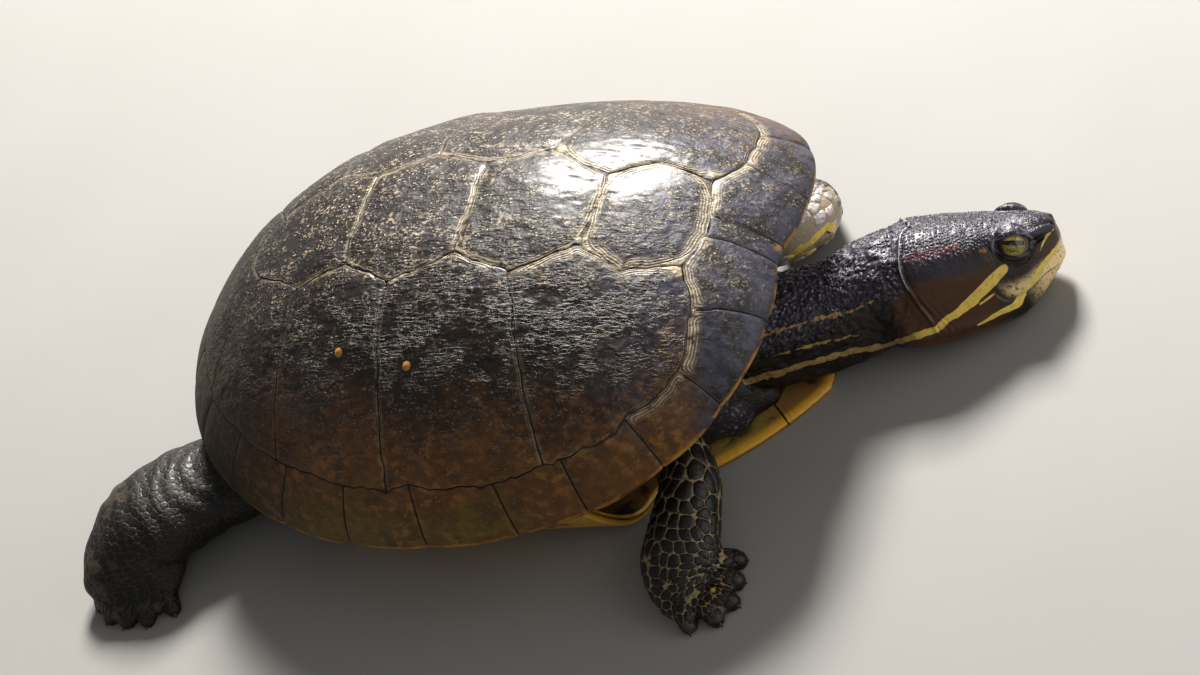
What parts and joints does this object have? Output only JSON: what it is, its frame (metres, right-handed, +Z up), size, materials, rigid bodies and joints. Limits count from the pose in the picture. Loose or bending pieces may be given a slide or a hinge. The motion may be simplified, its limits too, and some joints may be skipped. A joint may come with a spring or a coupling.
{
  "type": "red-eared slider turtle",
  "caption": "Life-size still model of an adult slider turtle lying flat, with a domed scuted shell, stretched neck and head turned left, and spread clawed legs.",
  "frame": {"origin": "on the flat underside of the plastron, at the floor, below the middle of the shell", "axes": "+X forwards to the head, +Y to the animal's left, +Z up"},
  "size_m": [0.3009, 0.1835, 0.0832],
  "materials": {
    "carapace": "dark brown-black horn, worn and glossy",
    "plastron": "yellow horn with dark smudges, satin",
    "skin": "dark scaly skin with yellow stripes, satin",
    "eye": "wet, yellow-green iris",
    "claw": "dark horn, satin"
  },
  "bodies": {
    "root": {"vertebral_1": "carapace", "vertebral_2": "carapace", "vertebral_3": "carapace", "vertebral_4": "carapace", "vertebral_5": "carapace", "costal_left_1": "carapace", "costal_left_2": "carapace", "costal_left_3": "carapace", "costal_left_4": "carapace", "marginal_left_1": "carapace", "marginal_left_2": "carapace", "marginal_left_3": "carapace", "marginal_left_4": "carapace", "marginal_left_5": "carapace", "marginal_left_6": "carapace", "marginal_left_7": "carapace", "marginal_left_8": "carapace", "marginal_left_9": "carapace", "marginal_left_10": "carapace", "marginal_left_11": "carapace", "marginal_left_12": "carapace", "costal_right_1": "carapace", "costal_right_2": "carapace", "costal_right_3": "carapace", "costal_right_4": "carapace", "marginal_right_1": "carapace", "marginal_right_2": "carapace", "marginal_right_3": "carapace", "marginal_right_4": "carapace", "marginal_right_5": "carapace", "marginal_right_6": "carapace", "marginal_right_7": "carapace", "marginal_right_8": "carapace", "marginal_right_9": "carapace", "marginal_right_10": "carapace", "marginal_right_11": "carapace", "marginal_right_12": "carapace", "nuchal": "carapace", "gular_left": "plastron", "gular_right": "plastron", "humeral_left": "plastron", "humeral_right": "plastron", "pectoral_left": "plastron", "pectoral_right": "plastron", "abdominal_left": "plastron", "abdominal_right": "plastron", "femoral_left": "plastron", "femoral_right": "plastron", "anal_left": "plastron", "anal_right": "plastron", "trunk": "skin", "neck": "skin", "head": "skin", "eye_left": "eye", "eye_right": "eye", "leg_front_right": "skin", "leg_front_left": "skin", "leg_hind_right": "skin", "leg_hind_left": "skin", "tail": "skin"}
  },
  "joints": []
}
